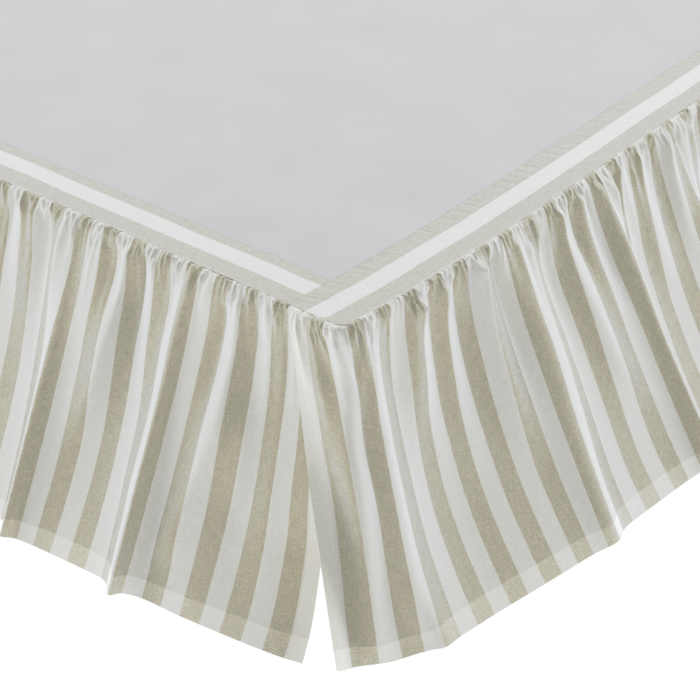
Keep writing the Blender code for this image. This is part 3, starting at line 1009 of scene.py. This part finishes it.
def ruffle_mesh(name, points, widths):
    """A sheet whose rows have fewer columns further down, and which of the points it uses."""
    used = np.zeros(points.shape[:2], bool)
    for row, width in enumerate(widths):
        used[::width, row] = True
    index = np.full(used.shape, -1)
    index[used] = np.arange(used.sum())
    faces = []
    for row in range(len(widths) - 1):
        faces += row_faces(index, row, widths[row], widths[row + 1])
    mesh = bpy.data.meshes.new(name)
    mesh.from_pydata(points[used].tolist(), [], [[int(n) for n in face] for face in faces])
    return mesh, used


def stripe_columns(near, total):
    """Where the columns of cells stand, in stripes: fine ones up to near, then wider ones."""
    most = ZONES[-1].columns
    near_columns = most * round(near * STRIPE / NEAR_COLUMN / most)
    far_columns = most * round((total - near) * STRIPE / FAR_COLUMN / most)
    near_stripes = np.linspace(0, near, near_columns, endpoint=False)
    return np.append(near_stripes, np.linspace(near, total, far_columns + 1))


def ruffle_points(hang, creased, stripes, shares):
    """The ruffle's folds, with its creases and gathers raised square to the cloth."""
    points = np.array([
        cloth_line(between(hang.rows, stripe), shares, hang.seam, hang.hem, hang.lapped)
        for stripe in stripes
    ])
    outward = np.cross(np.gradient(points, axis=1), np.gradient(points, axis=0))
    outward *= hang.turn / np.linalg.norm(outward, axis=2, keepdims=True)
    height = creases(stripes, shares, creased.table)
    height = height + gathers(stripes, shares, hang.rows[-1].stripe, creased.seed)
    return points + outward * height[..., None]


def add_ruffle(node, sign, hang, creased):
    """One gathered ruffle in one thin sheet. sign is -1 for one mirrored to the -X side."""
    total = hang.rows[-1].stripe
    stripes = stripe_columns(creased.near, total)
    shares, widths = drop_shares()
    points = ruffle_points(hang, creased, stripes, shares)
    points[..., 0] *= sign
    mesh, used = ruffle_mesh(f"{node}_cloth", points, widths)
    across, down = np.meshgrid(stripes * STRIPE, shares * DROP, indexing="ij")
    lay_flat(mesh, np.stack([across, down], axis=-1)[used])
    piece = thicken(f"{node}_cloth", mesh, THICKNESS)
    piece.data.materials.append(striped_finish(f"striped cotton, {node}", total * STRIPE))
    carry(piece, "ruffle_cloth", node)
    total * STRIPE


# How a ruffle hangs: its rows, the lines of its seam and its hem, whether its end laps over the
# next ruffle, and the sign that turns its normals out.
Hang = namedtuple("Hang", "rows seam hem lapped turn")
# How it is creased: its creases, how many stripes have fine cells, and the seed of its gathers.
Creased = namedtuple("Creased", "table near seed")
# What sets the two side ruffles apart.
Side = namedtuple("Side", "name sign first_variety crease_seed gather_seed")
SIDES = (Side("right", 1, 0, 11, 4), Side("left", -1, 3, 12, 6))
# How many stripes of a side and of the foot have planned creases and fine cells, and how many of
# the foot's are repeated at its other end.
SIDE_NEAR = 31
FOOT_NEAR = 25
FOOT_CORNER = 7
foot_hang = Hang(foot_rows(), foot_seam, foot_hem, lapped=False, turn=-1)
foot_total = foot_hang.rows[-1].stripe
foot_creases = (
    FOOT_CREASES
    + further_creases(FOOT_NEAR, foot_total - FOOT_CORNER - 1, seed=13)
    + mirrored(FOOT_CREASES, foot_total, FOOT_CORNER)
)
foot_creased = Creased(foot_creases, FOOT_NEAR, seed=3)
add_ruffle("foot_ruffle", 1, foot_hang, foot_creased)
for side in SIDES:
    hang = Hang(side_rows(side.first_variety), side_seam, side_hem, lapped=True, turn=1)
    more_creases = further_creases(SIDE_NEAR, hang.rows[-1].stripe, side.crease_seed)
    creased = Creased(SIDE_CREASES + more_creases, SIDE_NEAR, side.gather_seed)
    add_ruffle(f"side_ruffle_{side.name}", side.sign, hang, creased)

# ---- Floor, light and camera
# A plain pale floor, a pale surround and wide soft lamps: one to each side of the corner, one
# high up behind it, over the deck, and a weak one in front that fills its shade.
FLOOR_SIZE = 24.0
FLOOR_GREY = 0.18
FLOOR_GLOW = 1.3
ROOM_TINT = (1.0, 0.978, 0.94)
ROOM_GLOW = 0.094
# How bright a lit surface shows: a soft shoulder keeps the white stripes from burning out.
BRIGHTEST = 1.4
TONE = ((0.3, 0.3), (0.6, 0.6), (0.9, 0.76), (1.15, 0.93))
deselect()
bpy.ops.mesh.primitive_plane_add(size=FLOOR_SIZE, location=(0, 0, 0))
floor = bpy.context.active_object
floor.name = "floor"
floor_finish, _, shader = new_finish("pale floor", roughness=0.9)
shader.inputs["Base Color"].default_value = rgba([FLOOR_GREY] * 3)
shader.inputs["Emission Color"].default_value = (1.0, 1.0, 1.0, 1.0)
shader.inputs["Emission Strength"].default_value = FLOOR_GLOW
floor.data.materials.append(floor_finish)

scene = bpy.context.scene
scene.view_settings.view_transform = "Standard"
scene.view_settings.use_curve_mapping = True
tone = scene.view_settings.curve_mapping
tone.clip_max_x = BRIGHTEST
tone.curves[3].points[-1].location = (BRIGHTEST, 1.0)
for light, shown in TONE:
    tone.curves[3].points.new(light, shown)
tone.update()
world = bpy.data.worlds.new("pale room")
world.use_nodes = True
room = world.node_tree.nodes["Background"]
room.inputs["Color"].default_value = rgba(ROOM_TINT)
room.inputs["Strength"].default_value = ROOM_GLOW
scene.world = world

CORNER = Vector((HALF_WIDTH, FOOT_Y, SEAM_Z))
LAMP_SIZE = 3.2
LAMP_DISTANCE = 5.0
COOL = (0.96, 0.985, 1.0)
NEUTRAL = (1.0, 1.0, 1.0)
# Azimuth and elevation are degrees as seen from the corner, with 0 towards -Y. Power is in watts.
Lamp = namedtuple("Lamp", "name azimuth elevation power tint")
LAMPS = (
    Lamp("left lamp", -62, 17, 137, COOL),
    Lamp("right lamp", 152, 17, 149, COOL),
    Lamp("front lamp", 40, 20, 17, COOL),
    Lamp("back lamp", 219, 62, 207, NEUTRAL),
)
for lamp in LAMPS:
    turn = math.radians(lamp.azimuth)
    rise = math.radians(lamp.elevation)
    level = math.cos(rise)
    back = Vector((math.sin(turn) * level, -math.cos(turn) * level, math.sin(rise)))
    disc = bpy.data.lights.new(lamp.name, "AREA")
    disc.shape = "DISK"
    disc.size = LAMP_SIZE
    disc.energy = lamp.power
    disc.color = lamp.tint
    hung = bpy.data.objects.new(lamp.name, disc)
    scene.collection.objects.link(hung)
    hung.location = CORNER + back * LAMP_DISTANCE
    hung.rotation_euler = back.to_track_quat("Z", "Y").to_euler()

# The camera's place from the top of the corner, in metres, its tilt and turn in degrees, and its
# long lens and its picture's width in pixels.
CAMERA_OFFSET = Vector((1.1317, -1.3838, 1.1301))
CAMERA_TILT = 57.069
CAMERA_TURN = 39.047
FOCAL_PIXELS = 2000
IMAGE_PIXELS = 700
SENSOR = 36.0
camera_data = bpy.data.cameras.new("camera")
camera_data.sensor_width = SENSOR
camera_data.lens = FOCAL_PIXELS * SENSOR / IMAGE_PIXELS
camera = bpy.data.objects.new("camera", camera_data)
scene.collection.objects.link(camera)
camera.location = Vector((HALF_WIDTH, FOOT_Y, deck_high.z)) + CAMERA_OFFSET
camera.rotation_euler = (math.radians(CAMERA_TILT), 0.0, math.radians(CAMERA_TURN))
scene.camera = camera
